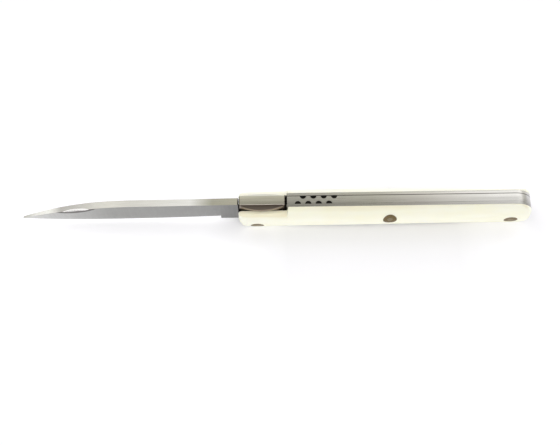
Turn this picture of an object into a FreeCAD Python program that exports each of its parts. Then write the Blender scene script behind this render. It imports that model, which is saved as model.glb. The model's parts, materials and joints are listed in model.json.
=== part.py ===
"""Folding pocket knife: an open blade, a lock lever and a handle of scales on steel liners.

Shapes are drawn with X measured from the handle's front end towards the butt, Y across the
knife and Z measured from the top of the spine, so depths are negative heights. Every piece is
then placed so that the open knife stands on its belly, centred over the origin.
"""
import FreeCAD, Part
import math
import os
from types import SimpleNamespace

import Sketcher

# Driving dimensions in millimetres, one spreadsheet cell each
DIMENSIONS = {
    "handle_length": 120.0,
    "belly_depth": 17.6,
    "belly_rise": 2.2,
    "front_lobe_end": 16.0,
    "rear_lobe_length": 22.0,
    "front_corner_radius": 8.0,
    "spine_end_radius": 7.5,
    "butt_flat": 1.6,
    "liner_thickness": 1.3,
    "blade_thickness": 3.0,
    "washer_thickness": 0.2,
    "side_clearance": 0.05,
    "fit_clearance": 0.01,
    "running_clearance": 0.03,
    "blade_length": 90.0,
    "blade_spine_depth": 0.8,
    "spine_fall": 0.6,
    "spine_straight": 42.0,
    "tip_depth": 13.4,
    "edge_depth": 16.1,
    "edge_lowest_x": 59.0,
    "ricasso_length": 7.5,
    "kick_drop": 1.7,
    "choil_depth": 14.1,
    "choil_length": 2.0,
    "edge_half_thickness": 0.12,
    "grind_start_depth": 3.0,
    "shoulder_gap": 0.45,
    "nick_middle_x": 67.0,
    "nick_cut": 0.95,
    "nick_cutter_radius": 2.7,
    "nick_cutter_length": 21.5,
    "pivot_x": 7.6,
    "pivot_depth": 12.0,
    "pivot_pin_radius": 1.5,
    "bush_wall": 0.9,
    "washer_land": 0.95,
    "centre_pin_x": 61.7,
    "centre_pin_depth": 5.7,
    "rear_pin_inset": 8.1,
    "rear_pin_rise": 7.2,
    "handle_pin_radius": 1.1,
    "rosette_radius": 2.8,
    "rosette_seat": 1.0,
    "lever_front": 0.4,
    "lever_length": 18.5,
    "lever_strip_half_width": 1.9,
    "lever_end_half_width": 2.1,
    "lever_middle_half_width": 3.6,
    "lever_chamfer_drop": 1.8,
    "lever_rim": 1.0,
    "lever_side_clearance": 0.1,
    "lever_nose_depth": 6.3,
    "lever_nose_clearance": 0.5,
    "lever_boss_drop": 1.9,
    "lever_boss_half_length": 1.6,
    "lever_tail_depth": 5.15,
    "lever_pin_setback": 5.6,
    "lever_pin_depth": 6.4,
    "lever_pin_radius": 0.9,
    "notch_end_clearance": 0.85,
    "notch_clearance": 0.7,
    "liner_notch_drop": 1.3,
    "ledge_flat": 0.6,
    "ledge_round": 3.0,
    "spring_gap": 1.0,
    "spring_nose_depth": 6.6,
    "spring_middle_depth": 7.5,
    "spring_block_length": 14.0,
    "filework_start": 4.4,
    "filework_pitch": 4.2,
    "filework_radius": 1.25,
    "filework_depth": 0.45,
    "leaf_thickness": 0.4,
    "leaf_width": 2.8,
    "leaf_clearance": 0.05,
    "leaf_free_length": 3.5,
    "leaf_seat_length": 3.5,
    "leaf_end_clearance": 0.2,
    "crown_top": 0.2,
    "crown_side_depth": 7.2,
    "crown_bottom": 0.5,
    "scale_front_bulge": 3.5,
    "scale_middle_bulge": 3.95,
    "scale_rear_bulge": 2.95,
    "scale_front_taper": 0.1,
    "scale_rear_taper": 0.3,
    "scale_front_round": 3.2,
    "scale_butt_round": 2.9,
}

# Filework cuts on each edge of the back spring
FILEWORK_CUTS = 4

# Room that a cutting shape reaches past the piece that it cuts
OVERCUT = 3.0


class Size:
    """A size that holds its value and the spreadsheet expression that it comes from."""

    def __init__(self, value, text):
        self.value = value
        self.text = text

    def combine(self, other, sign, value):
        return Size(value, f"({self.text} {sign} {as_size(other).text})")

    def __add__(self, other):
        return self.combine(other, "+", self.value + as_size(other).value)

    def __sub__(self, other):
        return self.combine(other, "-", self.value - as_size(other).value)

    def __mul__(self, other):
        return self.combine(other, "*", self.value * as_size(other).value)

    def __truediv__(self, other):
        return self.combine(other, "/", self.value / as_size(other).value)

    def __neg__(self):
        return Size(-self.value, f"(0 - {self.text})")


def as_size(number):
    """Give a plain number the form of a size."""
    if isinstance(number, Size):
        return number
    return Size(float(number), f"({float(number)})")


def root(size):
    """Square root of a size."""
    return Size(math.sqrt(size.value), f"sqrt({size.text})")


def arcsine(ratio):
    """Angle in degrees whose sine is a ratio."""
    return Size(math.degrees(math.asin(ratio.value)), f"asin({ratio.text})")


doc = FreeCAD.newDocument("pocket_knife")
sheet = doc.addObject("Spreadsheet::Sheet", "sizes")
for row, (alias, number) in enumerate(DIMENSIONS.items(), start=1):
    sheet.set(f"A{row}", alias)
    sheet.set(f"B{row}", str(number))
    sheet.setAlias(f"B{row}", alias)
doc.recompute()
d = SimpleNamespace(**{alias: Size(number, f"sizes.{alias}") for alias, number in DIMENSIONS.items()})

# Sizes that follow from the driving ones
slot_half = d.blade_thickness / 2 + d.side_clearance + d.washer_thickness
liner_outer = slot_half + d.liner_thickness
blade_half = d.blade_thickness / 2
bush_radius = d.pivot_pin_radius + d.running_clearance + d.bush_wall
lever_end = d.lever_front + d.lever_length
lever_pin_x = d.pivot_x + d.lever_pin_setback
lever_tail_start = lever_pin_x + d.lever_boss_half_length
spring_front = lever_end + d.spring_gap
leaf_top = d.lever_tail_depth + d.leaf_clearance
leaf_low = leaf_top + d.leaf_thickness
leaf_root = spring_front + d.leaf_free_length
leaf_rear = leaf_root + d.leaf_seat_length
notch_length = lever_end + d.notch_end_clearance
notch_depth = d.lever_chamfer_drop + d.lever_rim + d.notch_clearance
rear_lobe_start = d.handle_length - d.rear_lobe_length
belly_middle = (d.front_lobe_end + rear_lobe_start) / 2
tang_top = d.lever_nose_depth + d.lever_nose_clearance
tang_radius = d.pivot_depth - tang_top
ricasso_depth = d.pivot_depth + d.kick_drop
butt_low = d.spine_end_radius + d.butt_flat
butt_corner_radius = d.belly_depth - butt_low
pad_thickness = d.scale_middle_bulge + OVERCUT
frame_x = (d.handle_length - d.blade_length) / 2
shoulder_x = d.lever_front - d.shoulder_gap

PIVOT = (d.pivot_x, d.pivot_depth)
CENTRE = (d.centre_pin_x, d.centre_pin_depth)
REAR = (d.handle_length - d.rear_pin_inset, d.belly_depth - d.rear_pin_rise)
LEVER = (lever_pin_x, d.lever_pin_depth)

SIDES = {"left": -1, "right": 1}


def arc_radius(run, rise):
    """Radius of an arc that leaves its tangent by a rise over a run."""
    return (run * run + rise * rise) / (rise * 2)


def new_body(label):
    """Start a piece, placed so that the knife stands on its belly over the origin."""
    body = doc.addObject("PartDesign::Body", label)
    body.Label = label
    body.setExpression("Placement.Base.x", (-frame_x).text)
    body.setExpression("Placement.Base.z", d.belly_depth.text)
    return body


def new_sketch(body, name, role, shift=0.0):
    """Add a sketch on one of the body's own origin planes, moved along the plane's normal."""
    shift = as_size(shift)
    sketch = body.newObject("Sketcher::SketchObject", f"{body.Name}_{name}")
    plane = [feature for feature in body.Origin.OriginFeatures if feature.Role == role][0]
    sketch.AttachmentSupport = [(plane, "")]
    sketch.MapMode = "FlatFace"
    sketch.AttachmentOffset = FreeCAD.Placement(
        FreeCAD.Vector(0, 0, shift.value), FreeCAD.Rotation())
    sketch.setExpression("AttachmentOffset.Base.z", shift.text)
    return sketch


def bind(sketch, kind, geometry, position, size):
    """Hold one coordinate of a sketch point to a size."""
    index = sketch.addConstraint(
        Sketcher.Constraint(kind, -1, 1, geometry, position, size.value))
    sketch.setExpression(f"Constraints[{index}]", size.text)


def line_to(across, up):
    """A straight step of an outline to a point."""
    return ("line", as_size(across), as_size(up))


def arc_to(across, up, centre, hold):
    """A round step of an outline to a point: hold names the centre's driven coordinate."""
    return ("arc", as_size(across), as_size(up), centre, hold)


def draw_outline(sketch, steps):
    """Draw a closed outline through the steps' end points, in order."""
    joints = []
    for number, step in enumerate(steps):
        previous = steps[number - 1]
        begin = FreeCAD.Vector(previous[1].value, previous[2].value, 0)
        end = FreeCAD.Vector(step[1].value, step[2].value, 0)
        if step[0] == "line":
            geometry = sketch.addGeometry(Part.LineSegment(begin, end))
            joints.append((geometry, 1, 2))
            continue
        centre = FreeCAD.Vector(as_size(step[3][0]).value, as_size(step[3][1]).value, 0)
        begin_angle = math.atan2(begin.y - centre.y, begin.x - centre.x)
        end_angle = math.atan2(end.y - centre.y, end.x - centre.x)
        turn = (end_angle - begin_angle) % (2 * math.pi)
        circle = Part.Circle(centre, FreeCAD.Vector(0, 0, 1), (begin - centre).Length)
        if turn < math.pi:
            geometry = sketch.addGeometry(Part.ArcOfCircle(circle, begin_angle, end_angle))
            joints.append((geometry, 1, 2))
        else:
            geometry = sketch.addGeometry(Part.ArcOfCircle(circle, end_angle, begin_angle))
            joints.append((geometry, 2, 1))
    for (geometry, _, last), (following, first, _) in zip(joints, joints[1:] + joints[:1]):
        sketch.addConstraint(
            Sketcher.Constraint("Coincident", geometry, last, following, first))
    for (geometry, _, last), step in zip(joints, steps):
        bind(sketch, "DistanceX", geometry, last, step[1])
        bind(sketch, "DistanceY", geometry, last, step[2])
        if step[0] == "arc" and step[4] == "across":
            bind(sketch, "DistanceX", geometry, 3, as_size(step[3][0]))
        if step[0] == "arc" and step[4] == "up":
            bind(sketch, "DistanceY", geometry, 3, as_size(step[3][1]))


def draw_circle(sketch, across, up, radius):
    """Draw a circle held at its centre and radius."""
    across = as_size(across)
    up = as_size(up)
    centre = FreeCAD.Vector(across.value, up.value, 0)
    circle = Part.Circle(centre, FreeCAD.Vector(0, 0, 1), radius.value)
    geometry = sketch.addGeometry(circle)
    bind(sketch, "DistanceX", geometry, 3, across)
    bind(sketch, "DistanceY", geometry, 3, up)
    index = sketch.addConstraint(Sketcher.Constraint("Radius", geometry, radius.value))
    sketch.setExpression(f"Constraints[{index}]", radius.text)


def extrude(body, kind, sketch, length, midplane=False, reverse=False):
    """Pad or pocket a sketch by a length."""
    length = as_size(length)
    feature = body.newObject(f"PartDesign::{kind}", f"{sketch.Name}_{kind.lower()}")
    feature.Profile = sketch
    feature.Type = "Length"
    feature.Length = length.value
    feature.setExpression("Length", length.text)
    feature.Midplane = midplane
    feature.Reversed = reverse
    return feature


def plate(body, name, steps, thickness, middle=0.0):
    """Pad a side outline into a plate of a thickness about a middle plane across the knife."""
    sketch = new_sketch(body, name, "XZ_Plane", -as_size(middle))
    draw_outline(sketch, steps)
    extrude(body, "Pad", sketch, thickness, midplane=True)


def cross_hole(body, name, place, radius, middle, length):
    """Cut a round hole across the knife, of a length about a middle plane."""
    sketch = new_sketch(body, name, "XZ_Plane", -as_size(middle))
    draw_circle(sketch, place[0], -place[1], radius)
    extrude(body, "Pocket", sketch, length, midplane=True)


def cross_rod(body, name, place, radius, middle, length):
    """Pad a round rod across the knife, of a length about a middle plane."""
    sketch = new_sketch(body, name, "XZ_Plane", -as_size(middle))
    draw_circle(sketch, place[0], -place[1], radius)
    extrude(body, "Pad", sketch, length, midplane=True)


def butt_steps(bottom_end):
    """The outline's steps from the spine's end round the butt to a point on the belly."""
    spine_end = d.handle_length - d.spine_end_radius
    return [
        line_to(spine_end, 0),
        arc_to(d.handle_length, -d.spine_end_radius, (spine_end, -d.spine_end_radius), "up"),
        line_to(d.handle_length, -butt_low),
        arc_to(d.handle_length - butt_corner_radius, -d.belly_depth,
               (d.handle_length - butt_corner_radius, -butt_low), "up"),
        line_to(bottom_end, -d.belly_depth),
    ]


def handle_outline(notch):
    """Side outline of a liner or a scale, with a notch of a depth for the lever at its front."""
    belly_run = (rear_lobe_start - d.front_lobe_end) / 2
    belly_radius = arc_radius(belly_run, d.belly_rise)
    belly_centre = (belly_middle, -(d.belly_depth - d.belly_rise + belly_radius))
    front_low = d.belly_depth - d.front_corner_radius
    return [
        line_to(notch_length, -notch),
        line_to(notch_length, 0),
        *butt_steps(rear_lobe_start),
        arc_to(d.front_lobe_end, -d.belly_depth, belly_centre, "up"),
        line_to(d.front_corner_radius, -d.belly_depth),
        arc_to(0, -front_low, (d.front_corner_radius, -front_low), "up"),
        line_to(0, -notch),
    ]


def crown_section(body, side, number, station, bulge, belly):
    """Sketch what lies outside a scale's rounded section at one station along the handle."""
    sign = SIDES[side]
    face = liner_outer
    top_rise = bulge - d.crown_top
    side_run = d.crown_side_depth
    low_rise = bulge - d.crown_bottom
    low_run = belly - d.crown_side_depth
    top_centre = face + bulge - arc_radius(side_run, top_rise)
    low_centre = face + bulge - arc_radius(low_run, low_rise)
    outside = face + pad_thickness + OVERCUT
    sketch = new_sketch(body, f"crown_{number}", "YZ_Plane", station)
    draw_outline(sketch, [
        line_to((face + d.crown_top) * sign, 0),
        arc_to((face + bulge) * sign, -d.crown_side_depth,
               (top_centre * sign, -d.crown_side_depth), "up"),
        arc_to((face + d.crown_bottom) * sign, -belly,
               (low_centre * sign, -d.crown_side_depth), "up"),
        line_to((face + d.crown_bottom) * sign, -(d.belly_depth + OVERCUT)),
        line_to(outside * sign, -(d.belly_depth + OVERCUT)),
        line_to(outside * sign, OVERCUT),
        line_to((face + d.crown_top) * sign, OVERCUT),
    ])
    return sketch


def carve_crown(body, side):
    """Cut a piece to the scale's rounded outer face on one side of the knife."""
    middle_belly = d.belly_depth - d.belly_rise
    end_front = d.scale_front_bulge - d.scale_front_taper
    end_rear = d.scale_rear_bulge - d.scale_rear_taper
    stations = [
        (as_size(-OVERCUT), end_front, d.belly_depth),
        (d.front_lobe_end, d.scale_front_bulge, d.belly_depth),
        (belly_middle, d.scale_middle_bulge, middle_belly),
        (rear_lobe_start, d.scale_rear_bulge, d.belly_depth),
        (d.handle_length + OVERCUT, end_rear, d.belly_depth),
    ]
    sketches = [crown_section(body, side, f"{side}_{number}", *station)
                for number, station in enumerate(stations)]
    loft = body.newObject("PartDesign::SubtractiveLoft", f"{body.Name}_{side}_crown_cut")
    loft.Profile = sketches[0]
    loft.Sections = [(sketch, [""]) for sketch in sketches[1:]]
    loft.Ruled = False


def round_ledge(body, side):
    """Round the outer edge of the ledge that a scale has beside the lever."""
    sign = SIDES[side]
    flat_end = liner_outer + d.ledge_flat
    round_low = notch_depth + d.ledge_round
    outside = liner_outer + pad_thickness + OVERCUT
    sketch = new_sketch(body, "ledge", "YZ_Plane", -OVERCUT)
    draw_outline(sketch, [
        line_to(flat_end * sign, -notch_depth),
        arc_to((flat_end + d.ledge_round) * sign, -round_low, (flat_end * sign, -round_low), "up"),
        line_to(outside * sign, -round_low),
        line_to(outside * sign, OVERCUT),
        line_to(flat_end * sign, OVERCUT),
    ])
    extrude(body, "Pocket", sketch, notch_length + OVERCUT, reverse=True)


def round_corner(body, name, side, end_x, inward, bulge, radius):
    """Round a scale's outer upright corner, as seen from above, at one end of the handle."""
    sign = SIDES[side]
    tangent_x = as_size(end_x) + radius * inward
    top = liner_outer + bulge
    outside = top + OVERCUT
    sketch = new_sketch(body, name, "XY_Plane", -(d.belly_depth + OVERCUT))
    draw_outline(sketch, [
        line_to(end_x, (top - radius) * sign),
        arc_to(tangent_x, top * sign, (tangent_x, (top - radius) * sign), "across"),
        line_to(tangent_x, outside * sign),
        line_to(as_size(end_x) - as_size(OVERCUT * inward), outside * sign),
        line_to(as_size(end_x) - as_size(OVERCUT * inward), (top - radius) * sign),
    ])
    extrude(body, "Pocket", sketch, d.belly_depth + 2 * OVERCUT, reverse=True)


def make_liner(side):
    """Steel liner between the blade slot and a scale."""
    middle = (slot_half + d.liner_thickness / 2) * SIDES[side]
    body = new_body(f"{side}_liner")
    plate(body, "side", handle_outline(notch_depth + d.liner_notch_drop), d.liner_thickness, middle)
    through = d.liner_thickness + OVERCUT
    holes = [
        ("pivot", PIVOT, d.pivot_pin_radius),
        ("centre", CENTRE, d.handle_pin_radius),
        ("rear", REAR, d.handle_pin_radius),
        ("lever", LEVER, d.lever_pin_radius),
    ]
    for name, place, radius in holes:
        cross_hole(body, name, place, radius + d.fit_clearance, middle, through)
    return body


def make_scale(side):
    """Rounded handle scale, bored for the pins and their rosettes."""
    middle = (liner_outer + pad_thickness / 2) * SIDES[side]
    body = new_body(f"{side}_scale")
    plate(body, "side", handle_outline(notch_depth), pad_thickness, middle)
    carve_crown(body, side)
    round_ledge(body, side)
    round_corner(body, "front_corner", side, 0, 1, d.scale_front_bulge, d.scale_front_round)
    round_corner(body, "butt_corner", side, d.handle_length, -1, d.scale_rear_bulge,
                 d.scale_butt_round)
    through = pad_thickness + OVERCUT
    seat_middle = (liner_outer + d.rosette_seat + pad_thickness / 2) * SIDES[side]
    pins = [
        ("pivot", PIVOT, d.pivot_pin_radius),
        ("centre", CENTRE, d.handle_pin_radius),
        ("rear", REAR, d.handle_pin_radius),
    ]
    for name, place, radius in pins:
        cross_hole(body, name, place, radius + d.fit_clearance, middle, through)
        cross_hole(body, f"{name}_seat", place, d.rosette_radius + d.fit_clearance,
                   seat_middle, pad_thickness)
    return body


def make_rosette(side, name, place, pin_radius):
    """Rivet rosette set in a scale, flush with its rounded face."""
    middle = (liner_outer + d.rosette_seat + pad_thickness / 2) * SIDES[side]
    body = new_body(f"{side}_{name}_rosette")
    cross_rod(body, "disc", place, d.rosette_radius, middle, pad_thickness)
    carve_crown(body, side)
    cross_hole(body, "bore", place, pin_radius + d.fit_clearance, middle, pad_thickness + OVERCUT)
    return body


def make_rivet_pin(name, place, radius):
    """Pin through the whole handle, flush with both scales."""
    body = new_body(f"{name}_pin")
    cross_rod(body, "rod", place, radius, 0.0, (liner_outer + pad_thickness) * 2)
    for side in SIDES:
        carve_crown(body, side)
    return body


def make_washer(side):
    """Thin pivot washer that lies on a liner."""
    middle = (slot_half - d.washer_thickness / 2) * SIDES[side]
    body = new_body(f"{side}_pivot_washer")
    cross_rod(body, "disc", PIVOT, bush_radius + d.washer_land, middle, d.washer_thickness)
    cross_hole(body, "bore", PIVOT, d.pivot_pin_radius + d.fit_clearance, middle,
               d.washer_thickness + OVERCUT)
    return body


def make_bush():
    """Bearing bush pressed into the tang."""
    body = new_body("pivot_bush")
    cross_rod(body, "rod", PIVOT, bush_radius, 0.0, d.blade_thickness)
    cross_hole(body, "bore", PIVOT, d.pivot_pin_radius + d.running_clearance, 0.0,
               d.blade_thickness + OVERCUT)
    return body


def cut_nick(body, straight_depth, spine_radius):
    """Scoop the nail nick out of the spine's left corner with a spindle that lies along the spine."""
    nick_run = d.nick_middle_x - d.spine_straight
    spine_drop = spine_radius - root(spine_radius * spine_radius - nick_run * nick_run)
    axis_depth = straight_depth + spine_drop
    axis_out = blade_half - d.nick_cut + d.nick_cutter_radius
    half_length = d.nick_cutter_length / 2
    spindle_centre = d.nick_cutter_radius - arc_radius(half_length, d.nick_cutter_radius)
    tilt = arcsine(nick_run / spine_radius)
    nick = new_sketch(body, "nick", "XZ_Plane", axis_out)
    nick.AttachmentOffset = FreeCAD.Placement(
        FreeCAD.Vector(-d.nick_middle_x.value, -axis_depth.value, axis_out.value),
        FreeCAD.Rotation(FreeCAD.Vector(0, 0, 1), tilt.value))
    nick.setExpression("AttachmentOffset.Base.x", (-d.nick_middle_x).text)
    nick.setExpression("AttachmentOffset.Base.y", (-axis_depth).text)
    nick.setExpression("AttachmentOffset.Rotation.Angle", tilt.text)
    draw_outline(nick, [
        line_to(half_length, 0),
        arc_to(-half_length, 0, (0, spindle_centre), "up"),
    ])
    groove = body.newObject("PartDesign::Groove", "blade_nick_groove")
    groove.Profile = nick
    groove.ReferenceAxis = (nick, ["H_Axis"])
    groove.Angle = 360.0


def make_blade():
    """Drop-point blade with its tang, ground flat on both sides, with a nail nick."""
    body = new_body("blade")
    straight_depth = d.blade_spine_depth + d.spine_fall
    spine_run = d.blade_length - d.spine_straight
    spine_radius = arc_radius(spine_run, d.tip_depth - straight_depth)
    tip_run = d.blade_length - d.edge_lowest_x
    tip_radius = arc_radius(tip_run, d.edge_depth - d.tip_depth)
    choil_x = d.ricasso_length + d.choil_length
    kick_x = d.pivot_x - root(tang_radius * tang_radius - d.kick_drop * d.kick_drop)
    heel_run = d.edge_lowest_x - choil_x
    heel_radius = arc_radius(heel_run, d.edge_depth - d.choil_depth)
    plate(body, "side", [
        line_to(shoulder_x, -d.blade_spine_depth),
        line_to(shoulder_x, -tang_top),
        line_to(d.pivot_x, -tang_top),
        arc_to(d.pivot_x + tang_radius, -d.pivot_depth, (d.pivot_x, -d.pivot_depth), "up"),
        arc_to(d.pivot_x, -(d.pivot_depth + tang_radius), (d.pivot_x, -d.pivot_depth), "up"),
        arc_to(kick_x, -ricasso_depth, (d.pivot_x, -d.pivot_depth), "up"),
        line_to(-d.ricasso_length, -ricasso_depth),
        line_to(-choil_x, -d.choil_depth),
        arc_to(-d.edge_lowest_x, -d.edge_depth,
               (-d.edge_lowest_x, heel_radius - d.edge_depth), "across"),
        arc_to(-d.blade_length, -d.tip_depth,
               (-d.edge_lowest_x, tip_radius - d.edge_depth), "across"),
        arc_to(-d.spine_straight, -straight_depth,
               (-d.spine_straight, -(spine_radius + straight_depth)), "across"),
    ], d.blade_thickness)
    for side, sign in SIDES.items():
        grind = new_sketch(body, f"{side}_grind", "YZ_Plane", -d.ricasso_length)
        draw_outline(grind, [
            line_to(blade_half * sign, -d.grind_start_depth),
            line_to(d.edge_half_thickness * sign, -d.edge_depth),
            line_to(d.edge_half_thickness * sign, -(d.edge_depth + OVERCUT)),
            line_to((blade_half + OVERCUT) * sign, -(d.edge_depth + OVERCUT)),
            line_to((blade_half + OVERCUT) * sign, -d.grind_start_depth),
        ])
        extrude(body, "Pocket", grind, d.blade_length)
    cut_nick(body, straight_depth, spine_radius)
    cross_hole(body, "pivot", PIVOT, bush_radius + d.fit_clearance, 0.0,
               d.blade_thickness + OVERCUT)
    return body


def make_lever():
    """Lock lever: a web in the slot under a barrel-shaped pad with chamfered sides."""
    body = new_body("lock_lever")
    boss_start = lever_pin_x - d.lever_boss_half_length
    boss_depth = d.lever_nose_depth + d.lever_boss_drop
    nose_end = boss_start - d.lever_boss_drop
    web_half = slot_half - d.lever_side_clearance
    plate(body, "side", [
        line_to(lever_end, -d.lever_chamfer_drop),
        line_to(lever_end, -d.lever_tail_depth),
        line_to(lever_tail_start, -d.lever_tail_depth),
        line_to(lever_tail_start, -boss_depth),
        line_to(boss_start, -boss_depth),
        line_to(nose_end, -d.lever_nose_depth),
        line_to(d.lever_front, -d.lever_nose_depth),
        line_to(d.lever_front, -d.lever_chamfer_drop),
    ], web_half * 2)
    lever_middle = d.lever_front + d.lever_length / 2
    barrel_rise = d.lever_middle_half_width - d.lever_end_half_width
    barrel_radius = arc_radius(d.lever_length / 2, barrel_rise)
    barrel_centre = d.lever_middle_half_width - barrel_radius
    pad_depth = d.lever_chamfer_drop + d.lever_rim
    barrel = new_sketch(body, "barrel", "XY_Plane", -pad_depth)
    draw_outline(barrel, [
        line_to(d.lever_front, -d.lever_end_half_width),
        arc_to(lever_end, -d.lever_end_half_width, (lever_middle, -barrel_centre), "up"),
        line_to(lever_end, d.lever_end_half_width),
        arc_to(d.lever_front, d.lever_end_half_width, (lever_middle, barrel_centre), "up"),
    ])
    extrude(body, "Pad", barrel, pad_depth)
    slope = d.lever_chamfer_drop / (d.lever_middle_half_width - d.lever_strip_half_width)
    reach = d.lever_middle_half_width + OVERCUT
    for side, sign in SIDES.items():
        chamfer = new_sketch(body, f"{side}_chamfer", "YZ_Plane", d.lever_front - OVERCUT)
        draw_outline(chamfer, [
            line_to(d.lever_strip_half_width * sign, 0),
            line_to(reach * sign, (d.lever_strip_half_width - reach) * slope),
            line_to(reach * sign, OVERCUT),
            line_to(d.lever_strip_half_width * sign, OVERCUT),
        ])
        extrude(body, "Pocket", chamfer, d.lever_length + 2 * OVERCUT, reverse=True)
    cross_hole(body, "pin", LEVER, d.lever_pin_radius + d.running_clearance, 0.0,
               web_half * 2 + OVERCUT)
    return body


def make_lever_pin():
    """Pin that the lever rocks on, held by the two liners."""
    body = new_body("lever_pin")
    cross_rod(body, "rod", LEVER, d.lever_pin_radius, 0.0, liner_outer * 2)
    return body


def make_back_spring():
    """Back spring that fills the slot along the spine, with filework behind its front end."""
    body = new_body("back_spring")
    slot_end = leaf_rear + d.fit_clearance
    block_start = d.handle_length - d.spring_block_length
    plate(body, "side", [
        line_to(spring_front, 0),
        *butt_steps(block_start),
        line_to(block_start, -d.spring_middle_depth),
        line_to(d.centre_pin_x, -d.spring_middle_depth),
        line_to(leaf_root, -d.spring_nose_depth),
        line_to(leaf_root, -(leaf_low + d.fit_clearance)),
        line_to(slot_end, -(leaf_low + d.fit_clearance)),
        line_to(slot_end, -(leaf_top - d.fit_clearance)),
        line_to(spring_front, -(leaf_top - d.fit_clearance)),
    ], slot_half * 2)
    filework = new_sketch(body, "filework", "XY_Plane", -d.filework_depth)
    for number in range(FILEWORK_CUTS):
        near_x = spring_front + d.filework_start + d.filework_pitch * number
        far_x = near_x + d.filework_pitch / 2
        draw_circle(filework, near_x, -slot_half, d.filework_radius)
        draw_circle(filework, far_x, slot_half, d.filework_radius)
    extrude(body, "Pocket", filework, d.filework_depth + OVERCUT, reverse=True)
    for name, place in (("centre", CENTRE), ("rear", REAR)):
        cross_hole(body, name, place, d.handle_pin_radius + d.fit_clearance, 0.0,
                   slot_half * 2 + OVERCUT)
    return body


def make_lever_spring():
    """Leaf let into the back spring's nose, with a free end that lifts the lever's tail."""
    body = new_body("lever_spring")
    leaf_front = lever_tail_start + d.leaf_end_clearance
    plate(body, "side", [
        line_to(leaf_front, -leaf_top),
        line_to(leaf_rear, -leaf_top),
        line_to(leaf_rear, -leaf_low),
        line_to(leaf_front, -leaf_low),
    ], d.leaf_width)
    return body


def make_all():
    """Make every piece of the knife."""
    pieces = [make_blade(), make_bush(), make_lever(), make_lever_pin(), make_lever_spring(),
              make_back_spring()]
    pins = [
        ("pivot", PIVOT, d.pivot_pin_radius),
        ("centre", CENTRE, d.handle_pin_radius),
        ("rear", REAR, d.handle_pin_radius),
    ]
    for name, place, radius in pins:
        pieces.append(make_rivet_pin(name, place, radius))
    for side in SIDES:
        pieces.append(make_liner(side))
        pieces.append(make_scale(side))
        pieces.append(make_washer(side))
        for name, place, radius in pins:
            pieces.append(make_rosette(side, name, place, radius))
    return pieces


def check_document(pieces):
    """Stop if any object failed or any piece is not one sound solid."""
    for thing in doc.Objects:
        if "Invalid" in thing.State or "Error" in thing.State:
            raise RuntimeError(f"{thing.Name} failed: {thing.State}")
    for piece in pieces:
        shape = piece.Shape
        if shape.isNull() or not shape.isValid():
            raise RuntimeError(f"{piece.Label} has no valid shape")
        if len(shape.Solids) != 1:
            raise RuntimeError(f"{piece.Label} has {len(shape.Solids)} solids")


def write_steps(pieces):
    """Write each piece to its own file."""
    os.makedirs("parts", exist_ok=True)
    for piece in pieces:
        piece.Shape.exportStep(os.path.join("parts", f"{piece.Label}.step"))
        print(piece.Label, "volume", round(piece.Shape.Volume, 2))


knife = make_all()
doc.recompute()
check_document(knife)
write_steps(knife)
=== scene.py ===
"""Looks of the folding pocket knife: steel, cream scales and bronze rivets around the CAD frame."""
import json
import math

import bmesh
import bpy
import numpy as np
from mathutils import Matrix, Vector


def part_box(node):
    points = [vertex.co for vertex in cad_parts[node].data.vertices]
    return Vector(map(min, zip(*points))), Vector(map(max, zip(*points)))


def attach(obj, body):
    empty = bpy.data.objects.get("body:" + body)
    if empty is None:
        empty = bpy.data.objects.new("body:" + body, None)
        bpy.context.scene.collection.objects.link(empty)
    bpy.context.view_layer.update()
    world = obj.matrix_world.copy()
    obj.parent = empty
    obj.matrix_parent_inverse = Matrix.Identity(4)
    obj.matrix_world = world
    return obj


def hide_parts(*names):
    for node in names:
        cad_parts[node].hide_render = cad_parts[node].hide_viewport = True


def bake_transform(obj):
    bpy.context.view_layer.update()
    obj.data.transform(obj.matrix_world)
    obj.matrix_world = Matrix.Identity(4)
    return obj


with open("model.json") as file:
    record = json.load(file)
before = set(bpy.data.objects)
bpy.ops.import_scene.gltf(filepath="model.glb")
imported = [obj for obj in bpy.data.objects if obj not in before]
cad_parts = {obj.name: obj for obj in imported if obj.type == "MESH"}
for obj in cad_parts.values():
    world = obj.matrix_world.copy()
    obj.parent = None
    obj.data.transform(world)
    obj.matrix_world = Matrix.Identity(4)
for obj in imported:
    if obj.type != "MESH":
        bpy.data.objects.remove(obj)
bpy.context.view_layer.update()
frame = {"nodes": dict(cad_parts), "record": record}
nodes = frame["nodes"]

MM = 0.001
WHITE = (1.0, 1.0, 1.0)


def corners(node):
    """Lowest and highest corner of a CAD node."""
    low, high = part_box(node)
    return Vector(low), Vector(high)


# Places on the knife, read from the frame: in metres, but the handle's length and the scales' seat in mm
spring_low, spring_high = corners("back_spring")
lever_low, lever_high = corners("lock_lever")
scale_low, scale_high = corners("right_scale")
BLADE_TIP = corners("blade")[0].x
SPINE_TOP = spring_high.z
SPRING_SIDE = spring_high.y
HANDLE_FRONT = scale_low.x
HANDLE_LENGTH = (scale_high.x - scale_low.x) / MM
SCALE_SEAT = corners("right_liner")[1].y / MM

# End of the ledge beside the lever, in mm back from the handle's front
LEDGE_END = 19.75

# The photograph's frame: its width and scale, and how high and how level the spine lies in it
IMAGE_WIDTH = 560
PIXELS_PER_MM = 2.472
SPINE_RISE_PIXELS = 22.4
KNIFE_ROLL_DEGREES = 0.8

# The camera: its elevation, its distance and the place along the knife that it faces
CAMERA_ELEVATION_DEGREES = 66.5
CAMERA_DISTANCE = 0.40
CAMERA_ACROSS = 1.95 * MM
SENSOR_WIDTH = 36.0
CLIP_START = 0.01


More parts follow.
